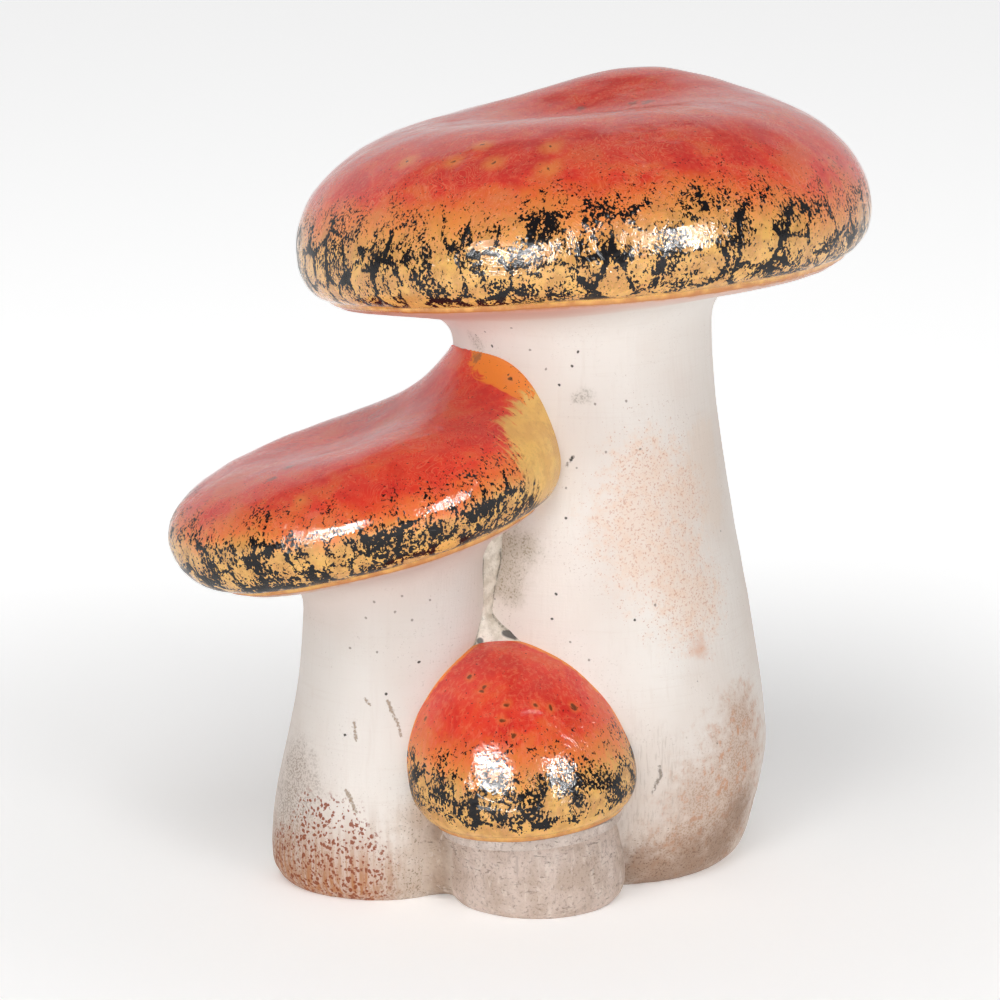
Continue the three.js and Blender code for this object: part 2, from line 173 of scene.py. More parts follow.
def let_into(m, points):
    """Points inside a stem that holds this mushroom come out to just below that stem's surface."""
    for holder in m.holders:
        cx, cy, _, _ = section(holder, points[..., 2])
        x, y = points[..., 0] - cx, points[..., 1] - cy
        short = np.maximum(0, -EMBED - clear_of(holder, points))
        grow = 1 + short / np.maximum(np.hypot(x, y), 0.01)
        points = np.stack([cx + x * grow, cy + y * grow, points[..., 2]], -1)
    return points


# Caps: a point is (x, y, height) about the cap's own axis, with height 0 on its widest line

def cap_turn(m):
    front, side = math.radians(-m.tilt[0]), math.radians(-m.tilt[1])
    cos_x, sin_x, cos_y, sin_y = math.cos(front), math.sin(front), math.cos(side), math.sin(side)
    about_x = np.array([[1, 0, 0], [0, cos_x, -sin_x], [0, sin_x, cos_x]])
    about_y = np.array([[cos_y, 0, sin_y], [0, 1, 0], [-sin_y, 0, cos_y]])
    return about_x @ about_y


def cap_centre(m):
    x, y, _, _ = section(m, neck_height(m))
    return np.array([x + m.offset[0], y + m.offset[1], m.centre_height])


def plate(m):
    """Edge radius and height of the plate under a cap, its neck radius, and its height at a radius."""
    crown_edge = m.radius - m.rim_curl * (1 - math.cos(RIM_TURN))
    rim_height = -m.rim_drop * math.sin(RIM_TURN)
    rim_radius = crown_edge - RIM_INSET
    neck_radius = float(stem_radius(m, m.centre_height - m.rim_drop))
    slope = (m.neck_depth - RIM_LIP) / (rim_radius - neck_radius)
    under = lambda radius: rim_height - SLIP_GAP - RIM_LIP - slope * (rim_radius - radius)
    return rim_radius, rim_height, neck_radius, under


def on_cap(m, points):
    """Cap points with the cap's outline, droop, dimple, crest and lean, set on the stem."""
    rim_radius, rim_height, neck_radius, under = plate(m)
    turn, centre = cap_turn(m), cap_centre(m)
    x, y, z = points[..., 0], points[..., 1], points[..., 2]

    def stem_centre(height):
        cx, cy, _, _ = section(m, m.centre_height + height)
        return turn.T @ (np.array([cx, cy, m.centre_height + height]) - centre)

    neck = stem_centre(under(neck_radius))
    slant = (stem_centre(under(neck_radius) - 5) - neck) / -5
    bearing = np.arctan2(y, x)
    low = np.clip(-z / m.rim_drop, 0, 1)
    edge = smoothstep(np.hypot(x, y), neck_radius, rim_radius)
    side = np.cos(bearing - math.radians(m.droop_bearing)) ** 2 * low * edge
    grow = 1 + m.lobe_depth * np.cos(m.lobes * (bearing - math.radians(m.lobe_bearing))) * edge
    up = smoothstep(z, 0, m.crown_height / 2)
    across = (x - m.dimple[0]) / m.dimple_stretch
    dimple = np.exp(-(across**2 + (y - m.dimple[1]) ** 2) / m.dimple_width**2)
    crest = np.exp(-((x - m.crest[0]) ** 2 + (y - m.crest[1]) ** 2) / m.crest_width**2)
    to_neck = np.where(z < rim_height, 1 - edge, 0)
    below = z - neck[2]
    stretch_x = 1 / math.cos(math.radians(m.tilt[1])) - 1
    stretch_y = 1 / math.cos(math.radians(m.tilt[0])) - 1
    lean = z / m.crown_height
    warped = np.stack([
        x * grow + m.cap_lean[0] * lean + (neck[0] + slant[0] * below + stretch_x * x) * to_neck,
        y * grow + m.cap_lean[1] * lean + (neck[1] + slant[1] * below + stretch_y * y) * to_neck,
        z - side * m.droop - up * (m.dimple_depth * dimple - m.crest_height * crest),
    ], -1)
    placed = warped @ turn.T + centre
    if m.climb:
        share = smoothstep(z, 0, m.crown_height)
        near = np.exp(-np.maximum(0, clear_of(LARGE, placed)) / m.climb_reach)
        placed[..., 2] += share * m.climb * near
    return placed


def turned(radii, heights, around):
    """Rings of points, one for each radius and height, about the Z axis."""
    turn = np.arange(around) * TAU / around
    radii, heights = np.asarray(radii, float), np.asarray(heights, float)
    ring = np.stack([np.cos(turn), np.sin(turn)], -1)
    flat = radii[:, None, None] * ring[None]
    return np.concatenate([flat, np.broadcast_to(heights[:, None, None], flat.shape[:2] + (1,))], -1)


def unit(vectors):
    return vectors / np.maximum(np.linalg.norm(vectors, axis=-1, keepdims=True), 1e-9)


def along_rings(values, rows):
    """One value for each ring, spread to all of its points."""
    return np.broadcast_to(values[:, None], rows.shape[:2])


def grid_normals(rows):
    """Normals of a grid of rings that runs from the top or the outside down."""
    around = np.roll(rows, -1, 1) - np.roll(rows, 1, 1)
    along = np.gradient(rows, axis=0)
    return unit(np.cross(along, around))


def lumps(points, size, seed):
    """Smooth random heights from -1 to 1 at points, with features of about the given size."""
    flat = points.reshape(-1, 3) / size + seed
    return np.array([noise.noise(Vector(p)) for p in flat]).reshape(points.shape[:-1])


def add_object(name, data):
    added = bpy.data.objects.new(name, data)
    SCENE.collection.objects.link(added)
    return added


def points_of(mesh):
    points = np.empty(len(mesh.vertices) * 3)
    mesh.vertices.foreach_get("co", points)
    return points.reshape(-1, 3) / MM


def add_values(mesh, name, values):
    layer = mesh.attributes.new(name, "FLOAT", "POINT")
    layer.data.foreach_set("value", np.ascontiguousarray(values, dtype=np.float32).ravel())


def foot_in_frame():
    """The frame's place of the large stem's foot, in millimetres."""
    points = points_of(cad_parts["large_stem"].data)
    ring = points[points[:, 2] < 0.1]
    return (ring.min(0) + ring.max(0)) / 2


FOOT = foot_in_frame()


def make_piece(name, rows, loop, replaces, attributes):
    """A closed mesh through rings of points. The last ring joins the first, or both ends are capped."""
    rows = np.concatenate([rows[..., :2], np.maximum(rows[..., 2:], 0)], -1)
    count, around = rows.shape[:2]
    index = np.arange(count * around).reshape(count, around)
    ahead = np.roll(index, -1, axis=1)
    quads = np.stack([index, np.roll(index, -1, axis=0), np.roll(ahead, -1, axis=0), ahead], -1)
    faces = (quads if loop else quads[:-1]).reshape(-1, 4).tolist()
    if not loop:
        faces += [index[0].tolist(), index[-1][::-1].tolist()]
    mesh = bpy.data.meshes.new(name)
    mesh.from_pydata(((rows + FOOT) * MM).reshape(-1, 3).tolist(), [], faces)
    mesh.validate()
    for key, values in attributes.items():
        add_values(mesh, key, values)
    mesh.shade_smooth()
    mesh.set_sharp_from_angle(angle=math.radians(55))
    piece = add_object(name, mesh)
    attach(piece, "root")
    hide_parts(*replaces)
    return piece


# Crowns

def crown_rows(m, around, dome_rings, rim_rings):
    """Outer rings of a crown from its top to its lower edge, with each ring's arc from that edge."""
    t = np.linspace(0.004, 1, dome_rings, endpoint=False)
    radius = m.radius * np.sin(t * math.pi / 2)
    height = m.crown_height * np.sqrt(1 - (radius / m.radius) ** m.fullness)
    turn = np.linspace(0, LIP_TURN, rim_rings)
    rim_radius = m.radius - m.rim_curl * (1 - np.cos(turn))
    rim_height = -m.rim_drop * np.sin(turn)
    lip_in, lip_down = [0.15, 0.35, 0.8], [0.5, 1.0, 1.3]
    radii = np.concatenate([radius, rim_radius, rim_radius[-1] - lip_in])
    heights = np.concatenate([height, rim_height, rim_height[-1] - lip_down])
    arc = np.concatenate([[0], np.cumsum(np.hypot(np.diff(radii), np.diff(heights)))])
    return turned(radii, heights, around), arc[-1] - arc


def edge_distance(m, rows):
    """How far points are from the line where a crown meets the stems that hold it."""
    distance = np.full(rows.shape[:2], FAR)
    for holder in m.holders:
        edge = rows[np.abs(clear_of(holder, rows)) < 0.5][::3]
        for point in edge:
            distance = np.minimum(distance, np.linalg.norm(rows - point, axis=-1))
    return distance


def make_crown(m, around, dome_rings, rim_rings):
    outer, arc = crown_rows(m, around, dome_rings, rim_rings)
    placed = on_cap(m, outer)
    normal = grid_normals(placed)
    uneven = 0.35 * lumps(placed, 26, 3.1) + 0.16 * lumps(placed, 7.5, 11.7) - 0.35
    placed = placed + normal * uneven[..., None]
    pick = np.linspace(len(outer) - 1, 0, 26).astype(int)
    inner = placed[pick] - normal[pick] * m.wall
    rows = let_into(m, np.concatenate([placed, inner]))
    rim = along_rings(np.concatenate([arc, arc[pick]]), rows)
    values = {"rim": rim, "wall": edge_distance(m, rows)}
    replaces = [m.name + "_cap_crown"]
    return make_piece(m.name + "_crown_shell", rows, False, replaces, values)


# Bodies: one skin runs from the foot up the stem, round the fillet and out under the cap

def body_skin(m, around, stem_rings, fillet_rings, plate_rings):
    """Rings from the cap's rim in to the neck and down to the foot, in three stretches."""
    rim_radius, rim_height, neck_radius, under = plate(m)
    reach, drop = m.fillet
    turn = np.arange(around) * TAU / around
    edge_in, edge_up = np.array([3.6, 2.2, 1.5, 1.9]), np.array([2, 0.4, -0.8, -1.35])
    edge = turned(rim_radius - edge_in, rim_height + edge_up, around)
    radii = np.linspace(rim_radius - 2.6, neck_radius + reach, plate_rings)
    plate_rows = on_cap(m, np.concatenate([edge, turned(radii, under(radii), around)]))
    corner = on_cap(m, turned([neck_radius], [under(neck_radius)], around))[0, :, 2]
    heights = np.linspace(1, 0, stem_rings)[:, None] * (corner - drop)
    cx, cy, rx, ry = section(m, heights)
    narrow = 1 - FOOT_ROUND + FOOT_ROUND * smoothstep(heights, -2.0, 1.5)
    stem_rows = np.stack([cx + rx * np.cos(turn) * narrow, cy + ry * np.sin(turn) * narrow, heights], -1)
    a, b = plate_rows[-1], stem_rows[0]
    towards, down = unit(plate_rows[-1] - plate_rows[-2]), unit(stem_rows[0] - stem_rows[1])
    size = np.linalg.norm(b - a, axis=-1, keepdims=True)
    p1, p2 = a + towards * size * 0.5, b + down * size * 0.42
    t = np.linspace(0, 1, fillet_rings + 2)[1:-1, None, None]
    fillet_rows = (1 - t) ** 3 * a + 3 * (1 - t) ** 2 * t * p1 + 3 * (1 - t) * t**2 * p2 + t**3 * b
    return plate_rows, fillet_rows, stem_rows


def body_relief(points):
    low = 1 - smoothstep(points[..., 2], 12, 45)
    return 0.3 * lumps(points, 24, 7.3) + 0.1 * lumps(points, 8, 1.9) + 0.16 * low * lumps(points, 3.2, 5.5)


def make_body(m, around, stem_rings, fillet_rings, plate_rings):
    plate_rows, fillet_rows, stem_rows = body_skin(m, around, stem_rings, fillet_rings, plate_rings)
    skin = np.concatenate([plate_rows, fillet_rows, stem_rows])
    normal = grid_normals(skin)
    skin = let_into(m, skin + normal * body_relief(skin)[..., None])
    fillet_start = len(plate_rows) - 1
    stem_start = len(plate_rows) + len(fillet_rows)
    step = np.linalg.norm(np.diff(skin, axis=0), axis=-1).mean(1)
    edge = np.concatenate([[0], np.cumsum(step)])

    def shell(name, first, last, depth, node):
        """A thin closed shell under some rings of the skin."""
        outer = np.arange(first, last + 1)
        inner = outer[np.linspace(last - first, 0, max(8, (last - first) // 4)).astype(int)]
        rows = np.concatenate([skin[outer], let_into(m, skin[inner] - normal[inner] * depth)])
        values = {"edge": along_rings(edge[np.concatenate([outer, inner])], rows)}
        return make_piece(m.name + name, rows, True, [m.name + node], values)

    plate_piece = shell("_plate", 0, fillet_start, PLATE_DEPTH, "_cap_underside")
    slip_piece = shell("_neck_slip", fillet_start, stem_start, NECK_SLIP_DEPTH, "_neck_fillet")
    outer = skin[stem_start:]
    level = outer[np.linspace(len(outer) - 1, 0, 30).astype(int)]
    cx, cy, _, _ = section(m, level[..., 2])
    x, y = level[..., 0] - cx, level[..., 1] - cy
    radius = np.hypot(x, y)
    depth = FOOT_RING + (m.stem_wall - FOOT_RING) * smoothstep(level[..., 2], 0, 9)
    keep = (radius - depth) / np.maximum(radius, 0.01)
    inner = np.stack([cx + x * keep, cy + y * keep, level[..., 2]], -1)
    rows = np.concatenate([outer, let_into(m, inner)])
    from_edge = np.full(rows.shape[:2], FAR)
    from_edge[:len(outer)] = edge[stem_start:][:, None]
    replaces = [m.name + "_stem"]
    stem_piece = make_piece(m.name + "_stem_skin", rows, True, replaces, {"edge": from_edge})
    return plate_piece, slip_piece, stem_piece


# Seams: slip in the grooves between the stems, swept up each groove

def wall_point(m, z, bearing):
    cx, cy, rx, ry = section(m, z)
    return np.stack([cx + rx * np.cos(bearing), cy + ry * np.sin(bearing), z], -1)


def groove(a, b, z, side):
    """Bearings, seen from a and from b, of the line where their walls meet at heights z."""
    ax, ay, _, _ = section(a, z)
    bx, by, _, _ = section(b, z)
    heading = np.arctan2(by - ay, bx - ax)
    inner, outer = np.zeros(len(z)), np.full(len(z), math.pi / 2)
    for _ in range(30):
        middle = (inner + outer) / 2
        inside = clear_of(b, wall_point(a, z, heading + side * middle)) < 0
        inner, outer = np.where(inside, middle, inner), np.where(inside, outer, middle)
    from_a = heading + side * inner
    point = wall_point(a, z, from_a)
    return from_a, np.arctan2(point[:, 1] - by, point[:, 0] - bx), point


def make_seam(name, a, b, side, z, reach_a, reach_b, proud, node):
    """A strip from a's wall to b's wall. proud is how far its middle stands out of the groove."""
    steps, back_steps = 22, 6
    sink, back_depth, end_drop = 2.5, 0.8, 0.4
    from_a, from_b, root = groove(a, b, z, side)
    edge_a = wall_point(a, z, from_a + side * reach_a / stem_radius(a, z))
    edge_b = wall_point(b, z, from_b - side * reach_b / stem_radius(b, z))
    ax, ay, _, _ = section(a, z)
    bx, by, _, _ = section(b, z)
    out = unit(np.stack([2 * root[:, 0] - ax - bx, 2 * root[:, 1] - ay - by, np.zeros(len(z))], -1))
    u = np.linspace(0, 1, steps)[None, :, None]
    control = root + out * np.reshape(proud, (-1, 1))
    arch = (1 - u) ** 2 * edge_b[:, None] + 2 * u * (1 - u) * control[:, None] + u**2 * edge_a[:, None]
    ends = np.sin(math.pi * u) ** 0.5
    uneven = 0.3 * lumps(arch, 3.5, 2.2) + 0.15 * lumps(arch, 1.4, 8.8)
    arch = arch + out[:, None] * (uneven[..., None] - end_drop * (1 - ends))
    v = np.linspace(1, 0, back_steps + 2)[None, 1:-1, None]
    sunk = root - out * sink
    back = v * edge_a[:, None] + (1 - v) * edge_b[:, None]
    back = back + (sunk - (edge_a + edge_b) / 2)[:, None] * (4 * v * (1 - v)) - out[:, None] * back_depth
    rows = np.concatenate([arch, back], 1)[::-1]
    if side < 0:
        rows = rows[:, ::-1]
    across = np.concatenate([np.linspace(0, 1, steps), np.linspace(1, 0, back_steps + 2)[1:-1]])
    across = across if side > 0 else across[::-1]
    across = np.broadcast_to(across, rows.shape[:2])
    return make_piece(name, rows, False, [node], {"across": across})


def make_front_strip():
    """The strip in the front groove, pinched out into toes at its lower end."""
    z = np.linspace(60, 97, 90)
    toe = 1 - smoothstep(z, 62, 71)
    neck = smoothstep(z, 72, 84)
    right = 2.2 + 1.4 * neck + 12.0 * toe
    left = 4.2 + 2.8 * neck + 3.4 * toe
    proud = 4.4 + 0.6 * neck + 1.0 * toe
    return make_seam("front_strip", LARGE, MEDIUM, 1, z, right, left, proud, "stem_seam_front")


def make_back_weld():
    z = np.linspace(0, 97, 120)
    reach = 7 + 1.5 * np.sin(z / 11)
    return make_seam("back_weld", LARGE, MEDIUM, -1, z, reach, reach, 0.6, "stem_seam_back")


def make_foot_infill():
    z = np.linspace(0, 24, 50)
    narrower = z * 0.05
    return make_seam(
        "foot_infill", MEDIUM, SMALL, -1, z, 8.5 - narrower, 7 - narrower, 2.4, "foot_seam"
    )


crowns = {
    "large": make_crown(LARGE, 480, 110, 26),
    "medium": make_crown(MEDIUM, 360, 90, 24),
    "small": make_crown(SMALL, 260, 80, 20),
}
bodies = {
    "large": make_body(LARGE, 384, 200, 14, 30),
    "medium": make_body(MEDIUM, 300, 130, 12, 24),
    "small": make_body(SMALL, 240, 40, 6, 10),
}
seams = {"front": make_front_strip(), "back": make_back_weld(), "foot": make_foot_infill()}
PIECES = [*crowns.values(), *seams.values()] + [piece for body in bodies.values() for piece in body]


# Nodes

class Value:
    """What a node gives. Arithmetic with values adds more nodes."""

    def __init__(self, nodes, socket):
        self.nodes, self.socket = nodes, socket

    def __add__(self, other):
        return self.nodes.math("ADD", self, other)

    def __sub__(self, other):
        return self.nodes.math("SUBTRACT", self, other)

    def __rsub__(self, other):
        return self.nodes.math("SUBTRACT", other, self)

    def __mul__(self, other):
        return self.nodes.math("MULTIPLY", self, other)

    def scaled(self, amount, start):
        return self.nodes.math("MULTIPLY_ADD", self, amount, start)

    def swing(self, amount):
        """Noise about zero, scaled."""
        return self.scaled(amount, -amount / 2)

    def ramp(self, low, high, start=0.0, end=1.0):
        """A smooth step from start to end while the value goes from low to high."""
        given = (self, low, high, start, end)
        return self.nodes.node("ShaderNodeMapRange", given, interpolation_type="SMOOTHSTEP")


class Nodes:
    """Adds nodes to a tree. An input is linked to a value, or set to a number or colour."""

    def __init__(self, tree):
        self.tree = tree

    def put(self, socket, value):
        if isinstance(value, Value):
            self.tree.links.new(value.socket, socket)
        elif socket.type == "RGBA":
            socket.default_value = (*value, 1)
        else:
            socket.default_value = value

    def node(self, kind, given=(), give=0, **settings):
        """One output of a new node. Its inputs are given in order, or by name or number."""
        node = self.tree.nodes.new(kind)
        for key, value in settings.items():
            setattr(node, key, value)
        for key, value in given.items() if isinstance(given, dict) else enumerate(given):
            self.put(node.inputs[key], value)
        return Value(self, node.outputs[give])

    def math(self, operation, *values):
        return self.node("ShaderNodeMath", values, operation=operation)

    def vector(self, operation, *values):
        give = "Value" if operation in ("DISTANCE", "LENGTH") else "Vector"
        return self.node("ShaderNodeVectorMath", values, give, operation=operation)

    def split(self, place, letter):
        return self.node("ShaderNodeSeparateXYZ", (place,), letter)


# Floor, lights and camera

def make_floor():
    """A pale floor that glows a little more away from the piece, so that it fades to white."""
    mesh = bpy.data.meshes.new("floor")
    half = 4.0
    corners = [(-half, -half, 0), (half, -half, 0), (half, half, 0), (-half, half, 0)]
    mesh.from_pydata(corners, [], [(0, 1, 2, 3)])
    material = bpy.data.materials.new("floor")
    material.use_nodes = True
    nodes = Nodes(material.node_tree)
    shader = material.node_tree.nodes["Principled BSDF"].inputs
    away = nodes.vector("LENGTH", nodes.node("ShaderNodeTexCoord", give="Object"))
    nodes.put(shader["Base Color"], (0.93, 0.93, 0.93))
    nodes.put(shader["Roughness"], 0.9)
    nodes.put(shader["Emission Color"], (1, 1, 1))
    nodes.put(shader["Emission Strength"], away.ramp(0.06, 0.4, 0.2, 0.58))
    mesh.materials.append(material)
    floor = add_object("floor", mesh)


def add_light(name, place, size, watts, in_gloss=True, in_colour=True):
    data = bpy.data.lights.new(name, "AREA")
    data.shape = "RECTANGLE"
    data.size, data.size_y = size
    data.energy = watts
    light = add_object(name, data)
    light.location = place
    light.visible_glossy = in_gloss
    light.visible_diffuse = in_colour
    aim = Vector((0, 0, 0.12)) - Vector(place)
    light.rotation_euler = aim.to_track_quat("-Z", "Y").to_euler()


def make_lights():
    """Soft boxes, stronger lights in their places for the highlights alone, and a top light."""
    left, right = (-0.64, -1.3, 0.5), (0.86, -1.16, 0.56)
    add_light("softbox_left", left, (0.52, 0.32), 4.2)
    add_light("softbox_right", right, (0.4, 0.32), 3.0)
    add_light("glint_left", left, (0.62, 0.5), 72.0, in_colour=False)
    add_light("glint_right", right, (0.54, 0.46), 58.0, in_colour=False)
    add_light("overhead", (-0.1, -0.7, 1.3), (0.9, 0.8), 7.6, in_gloss=False)


def make_world():
    """White behind and beside the piece, dimmer overhead and behind the camera."""
    world = bpy.data.worlds.new("studio")
    world.use_nodes = True
    nodes = Nodes(world.node_tree)
    direction = nodes.node("ShaderNodeTexCoord", give="Generated")
    behind = nodes.split(direction, "Y").ramp(-0.1, 0.35, 0.24, 0.72)
    above = nodes.split(direction, "Z").ramp(0.53, 0.56, 1.0, 0.38)
    background = world.node_tree.nodes["Background"].inputs
    nodes.put(background["Color"], (1, 1, 1))
    nodes.put(background["Strength"], behind * above)
    SCENE.world = world


LENS, SENSOR = 137.9, 36


def make_camera():
    target = Vector((-4.85, -11.5, 96)) * MM
    distance, elevation = 960 * MM, math.radians(14)
    data = bpy.data.cameras.new("camera")
    data.lens = LENS
    data.sensor_width = SENSOR
    data.clip_start, data.clip_end = 0.05, 50
    camera = add_object("camera", data)
    camera.location = target + Vector((0, -math.cos(elevation), math.sin(elevation))) * distance
    camera.rotation_euler = (math.pi / 2 - elevation, 0, 0)
    SCENE.camera = camera


make_floor()
make_camera()
bpy.context.view_layer.update()


# Places on the pieces, found from pixels of the photograph

PICTURE = 1000  # its width and height
FOCUS = LENS / SENSOR * PICTURE


def at(px, py):
    """The nearest point of the pieces under a pixel, in millimetres about the large foot."""
    camera = SCENE.camera
    aim = camera.matrix_world.to_3x3() @ Vector((px - PICTURE / 2, PICTURE / 2 - py, -FOCUS))
    best = None
    for piece in PIECES:
        hit, place, _, _ = piece.ray_cast(camera.location, aim.normalized())
        if hit and (best is None or (place - camera.location).length < (best - camera.location).length):
            best = place
    if best is None:
        raise ValueError(f"no piece lies under pixel {px}, {py}")
    return best / MM - Vector(FOOT)


def add_field(pieces, name, *patches):
    """A value at each vertex: 1 in the middle of a patch, 0 at its radius and less beyond.

    A patch is the pixel over its middle, or over both ends of a stroke, and its radius in millimetres.
    """
    middles = [(np.array(at(*patch[:2])), np.array(at(*patch[-3:-1])), patch[-1]) for patch in patches]
    for piece in pieces:
        points = points_of(piece.data) - FOOT
        near = np.full(len(points), -2.0)
        for start, end, radius in middles:
            along = end - start
            share = np.clip((points - start) @ along / max(along @ along, 1e-6), 0, 1)
            closest = start + share[:, None] * along
            near = np.maximum(near, 1 - np.linalg.norm(points - closest, axis=1) / radius)
        add_values(piece.data, name, near)


crown, large, medium = [crowns["medium"]], bodies["large"], bodies["medium"]
add_field(crown, "yellow", (550, 448, 17), (548, 425, 12))
add_field(
    crown, "strip", (482, 357, 5), (495, 362, 7), (510, 372, 8), (525, 388, 9), (540, 405, 10),
    (552, 430, 10), (556, 460, 9),
)
add_field(
    large, "peach", (650, 475, 15), (640, 520, 17), (680, 495, 13), (665, 560, 17), (690, 600, 16),
    (640, 560, 12),
)
add_field(large, "beige", (704, 440, 8), (708, 470, 8), (713, 505, 8), (700, 450, 8))
add_field(large, "smear", (699, 647, 6))
add_field(large, "smudge", (584, 396, 3), (477, 342, 3.6), (577, 398, 2))
# painted shade beside the strip, in the groove between the stems
add_field(
    large, "shade", (508, 550, 9), (507, 566, 9), (500, 582, 6), (512, 592, 5), (525, 548, 6),
    (496, 540, 7),
)
add_field(
    large, "brown", (740, 760, 19), (730, 800, 22), (718, 840, 22), (692, 866, 16), (690, 840, 16),
    (700, 800, 14), (742, 720, 12), (660, 870, 12),
)
add_field(large, "deep", (640, 868, 9), (660, 876, 10), (690, 864, 11), (718, 846, 10), (738, 812, 8))
add_field(large, "scrape", (655, 760, 9), (650, 790, 10), (640, 815, 9), (668, 800, 9))
add_field(
    large, "scratch", (659, 766, 661, 775, 0.7), (661, 775, 656, 784, 0.9), (656, 784, 653, 793, 0.7),
    (566, 466, 573, 457, 0.7),
)
add_field(
    medium, "rust", (325, 830, 11), (318, 862, 15), (345, 880, 13), (295, 880, 14), (316, 806, 7),
    (350, 846, 8),
)
add_field(medium, "left_dust", (290, 800, 14), (285, 840, 15), (290, 870, 14), (296, 770, 10))
add_field(
    medium, "mark", (388, 701, 392, 712, 0.9), (392, 712, 398, 724, 0.75), (398, 724, 401, 736, 0.6),
    (354, 722, 356, 740, 0.75), (346, 790, 351, 800, 1.0), (351, 800, 356, 812, 0.8),
    (365, 699, 370, 705, 0.75),
)
add_field(medium, "fill_dust", (424, 850, 9), (428, 878, 9), (418, 822, 7), (412, 880, 9))
# pixels over the hollow at the strip's toe, where shade is painted
add_field(
    [seams["front"]], "toe_hollow_shade", (510, 634, 1.7), (515, 636, 1.5), (505, 633, 1.2), (480, 641, 1.2),
)
bpy.context.view_layer.update()


# Materials

class Paint(Nodes):
    """A material built up in washes of colour and sums of small heights, in millimetres."""

    def __init__(self, name, roughness, coat=0.0, coat_roughness=0.1, specular=0.5):
        self.material = bpy.data.materials.new(name)
        self.material.use_nodes = True
        super().__init__(self.material.node_tree)
        self.shader = self.tree.nodes["Principled BSDF"]
        self.shader.inputs["Roughness"].default_value = roughness
        self.shader.inputs["Specular IOR Level"].default_value = specular
        self.shader.inputs["Coat Weight"].default_value = coat
        self.shader.inputs["Coat Roughness"].default_value = coat_roughness
        self.shader.inputs["Coat IOR"].default_value = 1.52
        found = self.node("ShaderNodeTexCoord", give="Object")
        self.place = self.vector("MULTIPLY_ADD", found, (1000, 1000, 1000), tuple(-FOOT))
        self.colour = None
        self.heights = []

    def most(self, a, b):
        return self.math("MAXIMUM", a, b)

    def mix(self, share, low, high):
        return self.node("ShaderNodeMix", {0: share, 6: low, 7: high}, 2, data_type="RGBA")

    def attribute(self, name):
        return self.node("ShaderNodeAttribute", give="Fac", attribute_name=name)

    def axis(self, letter):
        return self.split(self.place, letter)

    def spread(self, place, sizes, shift):
        return self.vector("MULTIPLY_ADD", place, tuple(1 / size for size in sizes), shift)

    def clouds(self, place, detail, rough=0.5, twist=0.0, give=0):
        given = {"Vector": place, "Scale": 1, "Detail": detail, "Roughness": rough, "Distortion": twist}
        return self.node("ShaderNodeTexNoise", given, give)

    def noise(self, size, detail, rough=0.5, twist=0.0, seed=0.0):
        """Noise from 0 to 1 with features of a size, or of a size along each axis."""
        sizes = size if isinstance(size, tuple) else (size, size, size)
        return self.clouds(self.spread(self.place, sizes, (seed, seed * 2, -seed)), detail, rough, twist)

    def lines_along(self, distance, sizes):
        """Noise in long lines that keep their distance from an edge."""
        x, z = self.axis("X") * (1 / sizes[1]), self.axis("Z") * (1 / sizes[1])
        return self.clouds(self.node("ShaderNodeCombineXYZ", (distance * (1 / sizes[0]), x, z)), 2.0)

    def shaken(self, size, amount, seed=0.0):
        """The place, moved about by smooth noise."""
        spread = self.spread(self.place, (size, size, size), (seed, seed * 2, -seed))
        centred = self.vector("SUBTRACT", self.clouds(spread, 1.0, give="Color"), (0.5, 0.5, 0.5))
        return self.vector("MULTIPLY_ADD", centred, (amount, amount, amount), self.place)

    def cells(self, place, sizes, feature, seed):
        given = {"Vector": self.spread(place, sizes, (seed, -seed, seed)), "Scale": 1}
        return self.node("ShaderNodeTexVoronoi", given, "Distance", feature=feature)

    def spots(self, pixels, radius, place):
        """How near a place is to the spots under pixels: 1 at a spot's middle, 0 at the radius."""
        near = None
        for pixel in pixels:
            gap = self.vector("DISTANCE", place, tuple(at(*pixel)))
            near = gap if near is None else self.math("MINIMUM", near, gap)
        return near.scaled(-1 / radius, 1.0)

    def patch(self, name, low, high, *rough):
        """The share of a patch of colour, its edge made rough."""
        return sum(rough, self.attribute(name)).ramp(low, high)

    def lay(self, colour, *shares):
        """Lays a colour over the others by the product of its shares."""
        share = math.prod(shares[1:], start=shares[0])
        self.colour = self.mix(share, self.colour, colour)

    def raise_by(self, *values):
        """Adds a height, the product of the values."""
        self.heights.append(math.prod(values[1:], start=values[0]))

    def finish(self):
        height = sum(self.heights[1:], self.heights[0])
        bump = self.node("ShaderNodeBump", {"Strength": 1, "Distance": MM, "Height": height})
        self.put(self.shader.inputs["Normal"], bump)
        self.put(self.shader.inputs["Coat Normal"], bump)
        self.put(self.shader.inputs["Base Color"], self.colour)
        return self.material


# Glaze of the crowns

OCHRE = (0.58, 0.29, 0.075)
BRIGHT_OCHRE = (0.77, 0.43, 0.11)
YELLOW = (0.86, 0.52, 0.13)
ORANGE = (0.78, 0.18, 0.038)
STRIP_ORANGE = (0.88, 0.25, 0.03)
LIGHT_STROKE = (0.95, 0.4, 0.19)
RED = (0.78, 0.046, 0.022)
DEEP_RED = (0.66, 0.03, 0.02)
RED_SPECK = (0.16, 0.02, 0.01)
BLACK = (0.009, 0.008, 0.009)
LIP = (0.52, 0.17, 0.05)
PIT_GLOW = (0.84, 0.25, 0.055)
PIT_BROWN = (0.07, 0.03, 0.012)
GREY_GREEN = (0.12, 0.09, 0.06)


